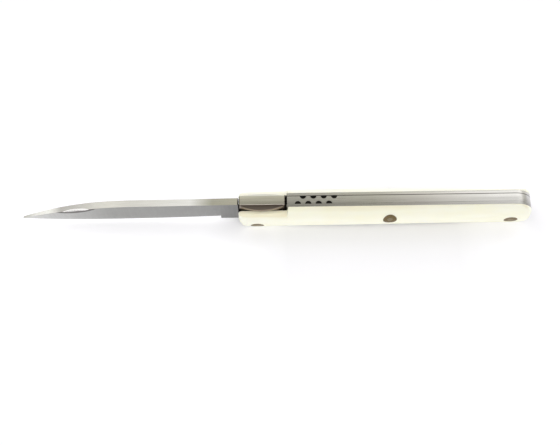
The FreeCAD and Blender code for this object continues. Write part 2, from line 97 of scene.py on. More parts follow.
def make_camera():
    """Place the camera at the photograph's angle, with the spine above the middle of the frame."""
    elevation = math.radians(CAMERA_ELEVATION_DEGREES)
    back = Vector((0, -math.cos(elevation), math.sin(elevation)))
    right = Vector((1, 0, 0))
    up = back.cross(right)
    spine = Vector((CAMERA_ACROSS, 0, SPINE_TOP))
    target = spine - up * (SPINE_RISE_PIXELS / PIXELS_PER_MM * MM)
    data = bpy.data.cameras.new("photo_camera")
    data.sensor_fit = "HORIZONTAL"
    data.sensor_width = SENSOR_WIDTH
    data.lens = SENSOR_WIDTH * CAMERA_DISTANCE / (IMAGE_WIDTH / PIXELS_PER_MM * MM)
    data.clip_start = CLIP_START
    camera = bpy.data.objects.new("photo_camera", data)
    bpy.context.collection.objects.link(camera)
    turn = Matrix((right, up, back)).transposed().to_4x4()
    roll = Matrix.Rotation(math.radians(-KNIFE_ROLL_DEGREES), 4, "Z")
    camera.matrix_world = Matrix.Translation(target + back * CAMERA_DISTANCE) @ turn @ roll
    bpy.context.scene.camera = camera


class Graph:
    """A tree of shader nodes under construction, for a material or for the world."""

    def __init__(self, tree, space="Object"):
        self.tree = tree
        coordinates = self.add("ShaderNodeTexCoord")
        self.place = coordinates.outputs[space]
        self.normal = coordinates.outputs["Normal"]

    def add(self, kind, sockets=None, **settings):
        """Add a node, set its properties, then fill its sockets with values or links."""
        node = self.tree.nodes.new(kind)
        for name, value in settings.items():
            setattr(node, name, value)
        for socket, value in (sockets or {}).items():
            self.fill(node.inputs[socket], value)
        return node

    def fill(self, socket, value):
        """Give a socket a value, or link it to another node's output."""
        if isinstance(value, bpy.types.NodeSocket):
            self.tree.links.new(value, socket)
        else:
            socket.default_value = value

    def noise(self, stretch, detail=3.0, roughness=0.55):
        """Noise over the knife, with its grain counted per metre along each axis."""
        mapping = self.add("ShaderNodeMapping", {"Vector": self.place, "Scale": stretch})
        texture = self.add("ShaderNodeTexNoise", {
            "Vector": mapping.outputs["Vector"], "Scale": 1.0, "Detail": detail, "Roughness": roughness})
        return texture.outputs["Fac"]

    def ramp(self, factor, stops):
        """Colour ramp through stops of position and colour."""
        node = self.add("ShaderNodeValToRGB", {"Fac": factor})
        ramp = node.color_ramp
        while len(ramp.elements) < len(stops):
            ramp.elements.new(0.5)
        for element, (position, colour) in zip(ramp.elements, stops):
            element.position = position
            element.color = (*colour, 1.0)
        return node.outputs["Color"]

    def between(self, factor, span, tones):
        """Colour that goes from one tone to another as the factor crosses a span."""
        return self.ramp(factor, list(zip(span, tones)))

    def math(self, operation, first, second=0.0, third=0.0):
        """Arithmetic on one, two or three values."""
        node = self.add("ShaderNodeMath", {0: first, 1: second, 2: third}, operation=operation)
        return node.outputs["Value"]

    def remap(self, value, low, high, to_low, to_high):
        """Map a value from one range to another, clamped."""
        return self.add("ShaderNodeMapRange", {
            "Value": value, "From Min": low, "From Max": high, "To Min": to_low, "To Max": to_high,
        }).outputs["Result"]

    def share(self, value, none, full):
        """Share that grows from 0 to 1 as a value goes from none to full, upwards or downwards."""
        return self.remap(value, none, full, 0.0, 1.0)

    def blend(self, factor, first, second, mode="MIX"):
        """Mix two colours."""
        node = self.add("ShaderNodeMix", data_type="RGBA", blend_type=mode)
        self.fill(node.inputs["Factor"], factor)
        self.fill(node.inputs["A"], first)
        self.fill(node.inputs["B"], second)
        return node.outputs["Result"]

    def darkened(self, colour, factor, span, tone):
        """Colour times a tone where the factor is low, and unchanged where it is high."""
        return self.blend(1.0, colour, self.between(factor, span, (tone, WHITE)), "MULTIPLY")

    def axis(self, name, vector=None):
        """One coordinate of the place, or of another vector."""
        return self.add("ShaderNodeSeparateXYZ", {"Vector": vector or self.place}).outputs[name]

    def vector(self, operation, first, second=(0.0, 0.0, 0.0)):
        """Vector arithmetic, as a node with its outputs."""
        return self.add("ShaderNodeVectorMath", {0: first, 1: second}, operation=operation)

    def all_of(self, *masks):
        """A mask that holds where all the given ones do."""
        product = masks[0]
        for mask in masks[1:]:
            product = self.math("MULTIPLY", product, mask)
        return product

    def bump(self, height, strength):
        """Bump the surface shader's normal."""
        node = self.add("ShaderNodeBump", {"Height": height, "Strength": strength, "Distance": BUMP_HEIGHT})
        self.fill_surface(Normal=node.outputs["Normal"])

    def fill_surface(self, **sockets):
        """Fill the surface shader's sockets, named with underscores for blanks."""
        shader = self.tree.nodes["Principled BSDF"]
        for name, value in sockets.items():
            self.fill(shader.inputs[name.replace("_", " ")], value)


def new_material(name):
    """A node material and its tree."""
    material = bpy.data.materials.new(name)
    material.use_nodes = True
    return material, Graph(material.node_tree)


# Height of a full-strength bump on any surface, and the range that most of a noise falls in
BUMP_HEIGHT = 0.02 * MM
NOISE_SPAN = (0.3, 0.7)

# Brushing: grains per metre along each axis, its bump, and how it changes the roughness over the noise
UPRIGHT_BRUSHING = (7000, 7000, 90)
LENGTHWISE_BRUSHING = (60, 7000, 7000)
LEVER_BRUSHING = (60, 6000, 6000)
BRUSHING_STRENGTH = 0.25
ROUGHNESS_CHANGE = (0.08, -0.06)


def finish_steel(graph, colour, brushing, roughness):
    """Fill the surface of a steel, scratched along the axis where the brushing is coarsest."""
    scratches = graph.noise(brushing, detail=4.0, roughness=0.7)
    graph.bump(scratches, BRUSHING_STRENGTH)
    rough = graph.remap(scratches, *NOISE_SPAN, *(roughness + change for change in ROUGHNESS_CHANGE))
    graph.fill_surface(Base_Color=colour, Roughness=rough, Metallic=1.0)


# Nail nick: a spindle turned out of the blade's near flat, its middle, lean and sizes in mm
NICK_MIDDLE = (-82.0, -3.25, 13.14)
NICK_LEAN_DEGREES = 14.0
NICK_SWEEP = 22.75
NICK_INSET = 20.05

# Nick's painted light: where the painted shadow on its lip and its hollow begin and are full, measured into
# the spindle, how far below the axis the painted shade on its wall starts, the wall's painted shade and
# highlight from there up, the lip's painted shadow, and the upward normal under which a face is a flat
NICK_LIP = (-1.15 * MM, -0.85 * MM)
NICK_HOLLOW = (-0.03 * MM, -0.01 * MM)
NICK_WALL_DROP = 2.0 * MM
NICK_WALL_SHADE_AND_HIGHLIGHT = ((0.15, (0.05, 0.045, 0.04)), (0.35, (0.80, 0.79, 0.76)), (1.0, (0.95, 0.94, 0.91)))
NICK_LIP_SHADOW = (0.06, 0.05, 0.045, 1.0)
FLAT_NORMAL = 0.4


def nick_places(graph):
    """How far inside the nick's spindle a place on the blade is, and how far above its axis, in metres."""
    lean = math.radians(NICK_LEAN_DEGREES)
    line = (math.cos(lean), 0.0, math.sin(lean))
    upward = (-math.sin(lean), 0.0, math.cos(lean))
    middle = tuple(place * MM for place in NICK_MIDDLE)
    arm = graph.vector("SUBTRACT", graph.place, middle).outputs["Vector"]
    along = graph.vector("DOT_PRODUCT", arm, line).outputs["Value"]
    cross = graph.vector("CROSS_PRODUCT", arm, line).outputs["Vector"]
    across = graph.vector("LENGTH", cross).outputs["Value"]
    square = graph.math("SUBTRACT", (NICK_SWEEP * MM) ** 2, graph.math("MULTIPLY", along, along))
    sweep = graph.math("SQRT", graph.math("MAXIMUM", square, 0.0))
    radius = graph.math("SUBTRACT", sweep, NICK_INSET * MM)
    rise = graph.vector("DOT_PRODUCT", arm, upward).outputs["Value"]
    return graph.math("SUBTRACT", radius, across), rise


def with_nick(graph, colour):
    """Blade's colour with a painted shadow along the nick's lip on the flat, and painted shade and a
    painted highlight on its wall.
    """
    depth, rise = nick_places(graph)
    lip = graph.share(depth, *NICK_LIP)
    off_spine = graph.math("LESS_THAN", graph.axis("Z", graph.normal), FLAT_NORMAL)
    # Painted shadow along the nick's lower lip
    colour = graph.blend(graph.all_of(lip, off_spine), colour, NICK_LIP_SHADOW)
    # Painted shade low on the nick's wall and a painted highlight above it
    wall = graph.ramp(graph.share(rise, -NICK_WALL_DROP, 0.0), NICK_WALL_SHADE_AND_HIGHLIGHT)
    return graph.blend(graph.share(depth, *NICK_HOLLOW), colour, wall)


# Blade's tones by the share of the way from its tip to the lever, on the flats and on the spine: painted
# reflections, whose light and dark patches stand in for what the steel mirrors
FLAT_REFLECTION_TONES = (
    (0.0, (0.62, 0.62, 0.60)), (0.22, (0.50, 0.50, 0.485)), (0.31, (0.435, 0.435, 0.42)),
    (0.42, (0.335, 0.335, 0.32)), (0.86, (0.295, 0.295, 0.285)), (0.96, (0.25, 0.25, 0.245)),
)
SPINE_REFLECTION_TONES = (
    (0.0, (0.66, 0.66, 0.65)), (0.07, (0.94, 0.94, 0.93)), (0.13, (0.84, 0.84, 0.82)),
    (0.19, (0.40, 0.39, 0.375)), (0.28, (0.44, 0.43, 0.41)), (0.40, (0.57, 0.56, 0.52)),
    (0.55, (0.62, 0.61, 0.58)), (0.78, (0.78, 0.78, 0.76)), (0.88, (0.40, 0.39, 0.32)),
    (1.0, (0.46, 0.44, 0.36)),
)

# Blade's streaks and the tones they darken by, the upward normals between which a flat turns to spine,
# and its roughness
FLAT_STREAKS = (900, 900, 30)
FLAT_STREAK_TONE = (0.86, 0.86, 0.86)
SPINE_STREAKS = (60, 3000, 3000)
SPINE_STREAK_TONE = (0.84, 0.84, 0.82)
SPINE_NORMAL = (0.45, 0.75)
BLADE_ROUGHNESS = 0.32

# Painted shade on the tang's edges in the gap at the lever: how far they begin in front of the lever, and
# their least normal
TANG_FRONT = 0.70 * MM
TANG_NORMAL = 0.5
TANG_SHADE = (0.035, 0.032, 0.018, 1.0)


def shaded_tang_edges(graph):
    """Mask over the tang's edges that face up or back, where shade is painted."""
    behind = graph.math("GREATER_THAN", graph.axis("X"), lever_low.x - TANG_FRONT)
    facing = graph.math("MAXIMUM", graph.axis("X", graph.normal), graph.axis("Z", graph.normal))
    return graph.all_of(behind, graph.math("GREATER_THAN", facing, TANG_NORMAL))


def make_blade_steel(name):
    """Satin blade: upright brushing on the flats, with painted reflections that make it pale towards the
    tip and the spine lighter.
    """
    material, graph = new_material(name)
    reach = graph.share(graph.axis("X"), BLADE_TIP, lever_low.x)
    streaks = graph.noise(FLAT_STREAKS, detail=5.0, roughness=0.7)
    # The tones along the flats and the spine are painted reflections
    flat = graph.darkened(graph.ramp(reach, FLAT_REFLECTION_TONES), streaks, NOISE_SPAN, FLAT_STREAK_TONE)
    grain = graph.noise(SPINE_STREAKS, detail=4.0)
    spine = graph.darkened(graph.ramp(reach, SPINE_REFLECTION_TONES), grain, NOISE_SPAN, SPINE_STREAK_TONE)
    facing_up = graph.share(graph.axis("Z", graph.normal), *SPINE_NORMAL)
    colour = graph.blend(facing_up, flat, spine)
    # Painted shade on the tang's edges in the gap
    colour = graph.blend(shaded_tang_edges(graph), colour, TANG_SHADE)
    finish_steel(graph, with_nick(graph, colour), UPRIGHT_BRUSHING, BLADE_ROUGHNESS)
    return material


def shaded_across(graph, colour, near_shade):
    """Colour across the handle's back, with painted shade growing from none at its far seam to a darker
    near edge.
    """
    reach = graph.share(graph.axis("Y"), -SCALE_SEAT * MM, SPRING_SIDE)
    return graph.darkened(colour, reach, (0.0, 1.0), (near_shade, near_shade, near_shade))


# Lever's tones: its streaked top with painted shade on its near side, the painted reflection on its far
# chamfer and the painted highlight on its near ridge
LEVER_STREAKS = (50, 1500, 1500)
LEVER_TOP = ((0.47, 0.45, 0.36), (0.57, 0.55, 0.45))
LEVER_NEAR_SHADE = 0.42
LEVER_FAR_SHEEN = (0.60, 0.59, 0.50, 1.0)
LEVER_FAR_NORMAL = (0.25, 0.55)
LEVER_RIDGE_HIGHLIGHT = (0.66, 0.62, 0.56, 1.0)
LEVER_ROUGHNESS = 0.32

# Near chamfer, a dark brown painted reflection: its streaks, how far below the top it begins and ends, and
# its painted shading down that way
CHAMFER = ((0.24, 0.20, 0.17), (0.37, 0.32, 0.27))
CHAMFER_START = 0.1 * MM
CHAMFER_DROP = 2.6 * MM
CHAMFER_SHADES = ((0.0, (0.55, 0.52, 0.50)), (0.5, (0.95, 0.93, 0.92)), (1.0, (1.45, 1.40, 1.35)))

# Normal across the knife at which the near side leans fully, and the leans over which the ridge's painted
# highlight and the chamfer's painted reflection come in
NEAR_NORMAL = -0.62
RIDGE_LEAN = (0.08, 0.25)
CHAMFER_LEAN = (0.45, 0.80)

# Painted shade at both ends of the lever: its tail by its normal, its front edge by its width
TAIL_NORMAL = (0.5, 0.8)
TAIL_SHADE = (0.015, 0.014, 0.012, 1.0)
LEVER_FRONT = 0.25 * MM
LEVER_FRONT_SHADE = (0.06, 0.055, 0.035, 1.0)


def make_lever_steel(name):
    """Olive-grey lever: brushed lengthwise on top, with painted light: shade on its near side, reflections
    on both chamfers, a highlight on its near ridge and shade at both ends.
    """
    material, graph = new_material(name)
    across = graph.axis("Y", graph.normal)
    streaks = graph.noise(LEVER_STREAKS, detail=4.0)
    # Painted shade on the near side of the top
    top = shaded_across(graph, graph.between(streaks, NOISE_SPAN, LEVER_TOP), LEVER_NEAR_SHADE)
    # Painted reflection on the far chamfer
    top = graph.blend(graph.share(across, *LEVER_FAR_NORMAL), top, LEVER_FAR_SHEEN)
    fall = graph.share(graph.axis("Z"), SPINE_TOP - CHAMFER_START, SPINE_TOP - CHAMFER_DROP)
    # The near chamfer's dark brown is a painted reflection, shaded down its slope
    chamfer = graph.between(streaks, NOISE_SPAN, CHAMFER)
    chamfer = graph.blend(1.0, chamfer, graph.ramp(fall, CHAMFER_SHADES), "MULTIPLY")
    lean = graph.share(across, 0.0, NEAR_NORMAL)
    # Painted highlight along the near ridge
    top = graph.blend(graph.share(lean, *RIDGE_LEAN), top, LEVER_RIDGE_HIGHLIGHT)
    colour = graph.blend(graph.share(lean, *CHAMFER_LEAN), top, chamfer)
    # Painted shade on the lever's tail and front edge
    tail = graph.share(graph.axis("X", graph.normal), *TAIL_NORMAL)
    colour = graph.blend(tail, colour, TAIL_SHADE)
    front = graph.math("LESS_THAN", graph.axis("X"), lever_low.x + LEVER_FRONT)
    colour = graph.blend(front, colour, LEVER_FRONT_SHADE)
    finish_steel(graph, colour, LEVER_BRUSHING, LEVER_ROUGHNESS)
    return material


# Steel of the handle's back: tones by the share of the way along the back spring to the butt, painted
# reflections that grow paler to the butt, its streaks with the tone they darken by, the painted shade at
# its near edge, and its roughness
BACK_REFLECTION_TONES = (
    (0.0, (0.42, 0.41, 0.36)), (0.35, (0.43, 0.42, 0.36)), (0.55, (0.52, 0.50, 0.46)),
    (0.85, (0.69, 0.68, 0.66)), (1.0, (0.70, 0.69, 0.67)),
)
BACK_STREAKS = (25, 1700, 1700)
BACK_STREAK_SPAN = (0.28, 0.55)
BACK_STREAK_TONE = (0.78, 0.78, 0.78)
BACK_NEAR_SHADE = 0.58
BACK_ROUGHNESS = 0.30

# Painted shade in the far seam: half its width, and half the width that is fully dark
SEAM_HALF = 0.17 * MM
SEAM_CORE = 0.102 * MM
SEAM_SHADE = (0.03, 0.028, 0.024, 1.0)

# Painted shade in hollows: where they end, how far below the spine the shade begins and is full, and its
# colour
FILEWORK = (spring_low.x + 24.0 * MM, (0.05 * MM, 0.16 * MM), (0.018, 0.017, 0.014, 1.0))
LEVER_NOTCH = (HANDLE_FRONT + 20.0 * MM, (0.2 * MM, 0.5 * MM), (0.025, 0.022, 0.018, 1.0))


def make_back_steel(name, hollows):
    """Steel of the handle's back: brushed lengthwise, with painted reflections paler to the butt and
    painted shade on its near edge, in its far seam and in its hollows.
    """
    material, graph = new_material(name)
    reach = graph.share(graph.axis("X"), spring_low.x, spring_high.x)
    streaks = graph.noise(BACK_STREAKS, detail=5.0, roughness=0.65)
    # Painted reflections that grow paler towards the butt, and painted shade on the near edge
    colour = graph.darkened(graph.ramp(reach, BACK_REFLECTION_TONES), streaks, BACK_STREAK_SPAN, BACK_STREAK_TONE)
    colour = shaded_across(graph, colour, BACK_NEAR_SHADE)
    # Painted shade along the far seam
    offset = graph.math("ABSOLUTE", graph.math("SUBTRACT", graph.axis("Y"), SPRING_SIDE))
    colour = graph.blend(graph.share(offset, SEAM_HALF, SEAM_CORE), colour, SEAM_SHADE)
    # Painted shade in the hollows: the spring's filework and front, the liners' notch
    end, sunk, black = hollows
    deep = graph.share(graph.axis("Z"), *(SPINE_TOP - depth for depth in sunk))
    front = graph.math("LESS_THAN", graph.axis("X"), end)
    colour = graph.blend(graph.all_of(deep, front), colour, black)
    finish_steel(graph, colour, LENGTHWISE_BRUSHING, BACK_ROUGHNESS)
    return material


# Painted shade in the far corner behind the lever: its reach along the knife and across it from the corner,
# and how far below the spine it begins
CORNER_REACH = 1.0 * MM
CORNER_WIDTH = 0.7 * MM
CORNER_DROP = 1.2 * MM
CORNER_SHADE = (0.05, 0.042, 0.03, 1.0)


def shaded_corner(graph):
    """Mask of painted shade over the scales' inner walls, and the far scale's corner behind the lever."""
    inward = graph.math("MULTIPLY", graph.axis("Y"), graph.axis("Y", graph.normal))
    wall = graph.math("LESS_THAN", inward, -SCALE_SEAT * MM / 2.0)
    corner = HANDLE_FRONT + LEDGE_END * MM
    along = graph.math("COMPARE", graph.axis("X"), corner, CORNER_REACH)
    across = graph.math("COMPARE", graph.axis("Y"), SCALE_SEAT * MM, CORNER_WIDTH)
    below = graph.math("LESS_THAN", graph.axis("Z"), SPINE_TOP - CORNER_DROP)
    return graph.math("MAXIMUM", wall, graph.all_of(along, across, below))


# Cream of the scales: clouds, their span, tones of the faces and the painted shade, yellower and darker, of
# the edges along the spine, the upward normals at which each edge's shade begins and is full, a fine grain,
# and how far each colour of light spreads inside
IVORY_CLOUDS = (60, 180, 180)
CLOUD_SPAN = (0.35, 0.65)
IVORY_FACE = ((0.985, 0.97, 0.80), (0.99, 0.985, 0.86))
IVORY_NEAR_EDGE_SHADE = ((0.88, 0.83, 0.64), (0.91, 0.87, 0.69))
IVORY_FAR_EDGE_SHADE = ((0.90, 0.89, 0.77), (0.91, 0.905, 0.81))
NEAR_EDGE_NORMAL = (0.62, 0.82)
FAR_EDGE_NORMAL = (0.35, 0.85)
IVORY_GRAIN = (900, 2500, 2500)
IVORY_GRAIN_STRENGTH = 0.05
IVORY_GLOW = (1.0, 0.9, 0.6)


def make_ivory(name):
    """Polished cream-coloured bone or resin with a faint cloudiness, with painted shade along the spine
    edges, stronger on the near scale.
    """
    material, graph = new_material(name)
    cloud = graph.noise(IVORY_CLOUDS)
    face = graph.between(cloud, CLOUD_SPAN, IVORY_FACE)
    upward = graph.axis("Z", graph.normal)

    def side(edge_shades, edge_normal):
        """Colour of one scale, with painted shade on its upper edge."""
        edge = graph.between(cloud, CLOUD_SPAN, edge_shades)
        return graph.blend(graph.share(upward, *edge_normal), face, edge)

    # Painted shade on the upper edges, yellower and darker on the near scale
    near = side(IVORY_NEAR_EDGE_SHADE, NEAR_EDGE_NORMAL)
    far = side(IVORY_FAR_EDGE_SHADE, FAR_EDGE_NORMAL)
    colour = graph.blend(graph.math("GREATER_THAN", graph.axis("Y"), 0.0), near, far)
    # Painted shade on the inner walls and in the corner behind the lever
    colour = graph.blend(shaded_corner(graph), colour, CORNER_SHADE)
    graph.bump(graph.noise(IVORY_GRAIN), IVORY_GRAIN_STRENGTH)
    graph.fill_surface(Base_Color=colour, Roughness=0.36, Subsurface_Weight=0.2,
                       Subsurface_Radius=IVORY_GLOW, Subsurface_Scale=1.0 * MM, IOR=1.48)
    return material


# Bronze: its grain, and the tones of the rosettes and of the lighter pins
BRONZE_GRAIN = (2500, 600, 2500)
BRONZE_GRAIN_STRENGTH = 0.2
ROSETTE_TONES = ((0.156, 0.113, 0.056), (0.252, 0.194, 0.10))
PIN_TONES = ((0.22, 0.18, 0.11), (0.33, 0.28, 0.18))


def make_bronze(name, tones):
    """Dull ground bronze."""
    material, graph = new_material(name)
    grain = graph.noise(BRONZE_GRAIN, detail=4.0, roughness=0.7)
    graph.bump(grain, BRONZE_GRAIN_STRENGTH)
    colour = graph.between(grain, NOISE_SPAN, tones)
    graph.fill_surface(Base_Color=colour, Roughness=0.45, Metallic=1.0)
    return material


SLOT_MATERIALS = {
    "blade_steel": make_blade_steel("blade_steel"),
    "spring_steel": make_back_steel("spring_steel", FILEWORK),
    "liner_steel": make_back_steel("liner_steel", LEVER_NOTCH),
    "lever_steel": make_lever_steel("lever_steel"),
    "scale_ivory": make_ivory("scale_ivory"),
    "rivet_bronze": make_bronze("rivet_bronze", ROSETTE_TONES),
    "pin_bronze": make_bronze("pin_bronze", PIN_TONES),
}

# Softened edges: width on each kind of piece, segments, and the angle from which an edge is sharp
EDGE_WIDTHS = {
    "blade_steel": 0.04 * MM,
    "spring_steel": 0.10 * MM,
    "liner_steel": 0.10 * MM,
    "lever_steel": 0.15 * MM,
    "rivet_bronze": 0.02 * MM,
    "pin_bronze": 0.02 * MM,
}
EDGE_SEGMENTS = 2
SHARP_ANGLE = math.radians(32)

# Faces of a CAD node are joined where they meet within this distance and this angle
WELD_REACH = 0.0001 * MM
FLAT_ANGLE = math.radians(0.5)


def soften_edges(node, width):
    """Round a CAD node's sharp edges with modifiers."""
    weld = node.modifiers.new("join_faces", "WELD")
    weld.merge_threshold = WELD_REACH
    flat = node.modifiers.new("whole_flats", "DECIMATE")
    flat.decimate_type = "DISSOLVE"
    flat.angle_limit = FLAT_ANGLE
    bevel = node.modifiers.new("soft_edges", "BEVEL")
    bevel.width = width
    bevel.segments = EDGE_SEGMENTS
    bevel.limit_method = "ANGLE"
    bevel.angle_limit = SHARP_ANGLE
    bevel.use_clamp_overlap = False
    node.modifiers.new("even_shading", "WEIGHTED_NORMAL")


def dress_nodes():
    """Give every CAD node the material of its slot and softened edges."""
    slots = {part["node"]: part["material_slot"] for part in frame["record"]["subparts"]}
    for name, node in nodes.items():
        node.data.materials.clear()
        node.data.materials.append(SLOT_MATERIALS[slots[name]])
        if slots[name] in EDGE_WIDTHS:
            soften_edges(node, EDGE_WIDTHS[slots[name]])


# Side outline of a scale, in mm back from the handle's front and down from its spine
LEDGE_DEPTH = 3.5
STEP_RUN = 0.8
NOSE_RADIUS = 2.0
SPINE_END_RADIUS = 7.5
FRONT_CORNER_RADIUS = 8.0
BUTT_CORNER_RADIUS = 8.5
BELLY_DEPTH = 17.6
BELLY_RISE = 2.2
FRONT_LOBE_END = 16.0
REAR_LOBE_START = 98.0

# Crown of a scale, in mm: its widest line, what is left at its two edges and at least anywhere,
# and by places along the handle how far it stands out and how deep it reaches
CROWN_DEPTH = 7.2
CROWN_TOP = 0.2
CROWN_BOTTOM = 0.5
CROWN_LEAST = 0.05
CROWN_REACH = ((-3.0, 3.4), (16.0, 3.5), (57.0, 3.95), (98.0, 2.95), (123.0, 2.65))
BELLY_REACH = ((-3.0, 17.6), (16.0, 17.6), (57.0, 15.4), (98.0, 17.6), (123.0, 17.6))

# Rounding towards the belly: where it starts and how much it takes off in mm, how fast it grows,
# and the share of the way to the belly's edge at which it stops growing
BELLY_ROUND_START = 12.0
BELLY_ROUND = 0.42
BELLY_ROUND_POWER = 1.5
BELLY_ROUND_LIMIT = 1.2

# Rounding of a scale's ends and ledge, in mm: what is left at the edge, and the round's radius
FRONT_ROUND = (0.15, 2.6)
BUTT_ROUND = (0.15, 2.9)
LEDGE_ROUND = (0.6, 3.0)

# Heights, in mm, that free the crown from the ledge's round on the step and behind it
STEP_FREE = 4.0
BACK_FREE = 9.0

# How sharp the creases between the roundings are
CREASE_SHARPNESS = 6.0

# Stations along a scale at a round corner, the ledge, the step and the back, and rows down its face
CORNER_STATIONS = 24
LEDGE_STATIONS = 18
STEP_STATIONS = 9
BACK_STATIONS = 100
UPPER_ROWS = 14
LOWER_ROWS = 16


def polynomial(stations, along):
    """The one polynomial through all the stations."""
    places, values = zip(*stations)
    return np.polyval(np.polyfit(places, values, len(stations) - 1), along)


def ease(share):
    """Smooth step from 0 to 1."""
    share = np.clip(share, 0.0, 1.0)
    return share * share * (3.0 - 2.0 * share)


def corner_drop(past, radius):
    """How far a round corner has turned away from its straight edge."""
    past = np.clip(past, 0.0, radius)
    return radius - np.sqrt(radius ** 2 - past ** 2)


def outline_top(along):
    """Depth of a scale's upper edge: the ledge beside the lever, the spine, then the round butt."""
    ledge = LEDGE_DEPTH * (1.0 - ease((along - LEDGE_END) / STEP_RUN))
    nose = corner_drop(NOSE_RADIUS - along, NOSE_RADIUS)
    butt = corner_drop(along - (HANDLE_LENGTH - SPINE_END_RADIUS), SPINE_END_RADIUS)
    return ledge + nose + butt


def outline_bottom(along):
    """Depth of a scale's lower edge: round front corner, hollow belly, round butt corner."""
    half = (REAR_LOBE_START - FRONT_LOBE_END) / 2.0
    radius = (half ** 2 + BELLY_RISE ** 2) / (2.0 * BELLY_RISE)
    offset = np.clip(along - (FRONT_LOBE_END + half), -half, half)
    depth = BELLY_DEPTH - BELLY_RISE + radius - np.sqrt(radius ** 2 - offset ** 2)
    front = corner_drop(FRONT_CORNER_RADIUS - along, FRONT_CORNER_RADIUS)
    butt = corner_drop(along - (HANDLE_LENGTH - BUTT_CORNER_RADIUS), BUTT_CORNER_RADIUS)
    return depth - front - butt


def rounded(distance, form):
    """Height of a rounded edge at a distance in from it, rising on past the round."""
    left, radius = form
    inside = np.clip(distance, 0.0, radius)
    arc = np.sqrt(radius ** 2 - (radius - inside) ** 2)
    return left + arc + np.clip(distance - radius, 0.0, None)


def soft_least(*heights):
    """The least of the heights, with the creases between them smoothed."""
    total = sum(np.exp(-CREASE_SHARPNESS * height) for height in heights)
    return -np.log(total) / CREASE_SHARPNESS


def crown_height(along, depth):
    """How far a scale's outer face stands out from the liner."""
    reach = polynomial(CROWN_REACH, along)
    belly = polynomial(BELLY_REACH, along)
    above = depth < CROWN_DEPTH
    span = np.where(above, CROWN_DEPTH, belly - CROWN_DEPTH)
    rise = reach - np.where(above, CROWN_TOP, CROWN_BOTTOM)
    radius = (span ** 2 + rise ** 2) / (2.0 * rise)
    height = reach - radius + np.sqrt(np.clip(radius ** 2 - (depth - CROWN_DEPTH) ** 2, 0.0, None))
    low = np.clip((depth - BELLY_ROUND_START) / (belly - BELLY_ROUND_START), 0.0, BELLY_ROUND_LIMIT)
    return np.maximum(height - BELLY_ROUND * low ** BELLY_ROUND_POWER, CROWN_LEAST)


def inside_front(along, depth):
    """How far in from the handle's front edge and its round lower corner a place is."""
    under = np.clip(depth - (BELLY_DEPTH - FRONT_CORNER_RADIUS), 0.0, None)
    corner = FRONT_CORNER_RADIUS - np.hypot(FRONT_CORNER_RADIUS - along, under)
    return np.where(along < FRONT_CORNER_RADIUS, corner, along)


def inside_butt(along, depth):
    """How far in from the butt's edge and its two round corners a place is."""
    over = np.clip(SPINE_END_RADIUS - depth, 0.0, None)
    past_upper = np.clip(along - (HANDLE_LENGTH - SPINE_END_RADIUS), 0.0, None)
    upper = SPINE_END_RADIUS - np.hypot(past_upper, over)
    under = np.clip(depth - (BELLY_DEPTH - BUTT_CORNER_RADIUS), 0.0, None)
    low_centre = HANDLE_LENGTH - BUTT_CORNER_RADIUS
    lower = BUTT_CORNER_RADIUS - np.hypot(np.clip(along - low_centre, 0.0, None), under)
    return np.where(along > low_centre, np.minimum(upper, lower), HANDLE_LENGTH - along)


def scale_height(along, depth):
    """Crown of a scale, rounded off at its front, its butt and the ledge beside the lever."""
    freed = STEP_FREE * ease((along - LEDGE_END) / STEP_RUN)
    ledge = rounded(depth - LEDGE_DEPTH, LEDGE_ROUND) + freed
    return soft_least(
        crown_height(along, depth),
        rounded(inside_front(along, depth), FRONT_ROUND),
        rounded(inside_butt(along, depth), BUTT_ROUND),
        np.where(along > LEDGE_END + STEP_RUN, BACK_FREE, ledge),
    )


def scale_grid():
    """Places along and down a scale's outer face, closer together where it curves."""
    quarter = np.linspace(0.0, math.pi / 2.0, CORNER_STATIONS)
    low_centre = HANDLE_LENGTH - BUTT_CORNER_RADIUS
    along = np.concatenate([
        FRONT_CORNER_RADIUS * (1.0 - np.cos(quarter)),
        np.linspace(FRONT_CORNER_RADIUS, LEDGE_END, LEDGE_STATIONS)[1:],
        np.linspace(LEDGE_END, LEDGE_END + STEP_RUN, STEP_STATIONS)[1:],
        np.linspace(LEDGE_END + STEP_RUN, low_centre, BACK_STATIONS)[1:],
        low_centre + BUTT_CORNER_RADIUS * np.sin(quarter[1:]),
    ])
    along = np.clip(along, 0.0, HANDLE_LENGTH)
    top, bottom = outline_top(along), outline_bottom(along)
    butt_share = np.clip((along - low_centre) / BUTT_CORNER_RADIUS, 0.0, 1.0)
    middle = CROWN_DEPTH + butt_share ** 2
    upper_share = 1.0 - np.cos(np.linspace(0.0, math.pi / 2.0, UPPER_ROWS))
    lower_share = np.sin(np.linspace(0.0, math.pi / 2.0, LOWER_ROWS))[1:]
    upper = top + np.outer(upper_share, middle - top)
    lower = middle + np.outer(lower_share, bottom - middle)
    depth = np.vstack([upper, lower])
    return np.broadcast_to(along, depth.shape), depth


def finish_mesh(build, name):
    """Turn a mesh under construction into a mesh whose faces all look outwards."""
    bmesh.ops.recalc_face_normals(build, faces=build.faces)
    mesh = bpy.data.meshes.new(name)
    build.to_mesh(mesh)
    build.free()
    return mesh


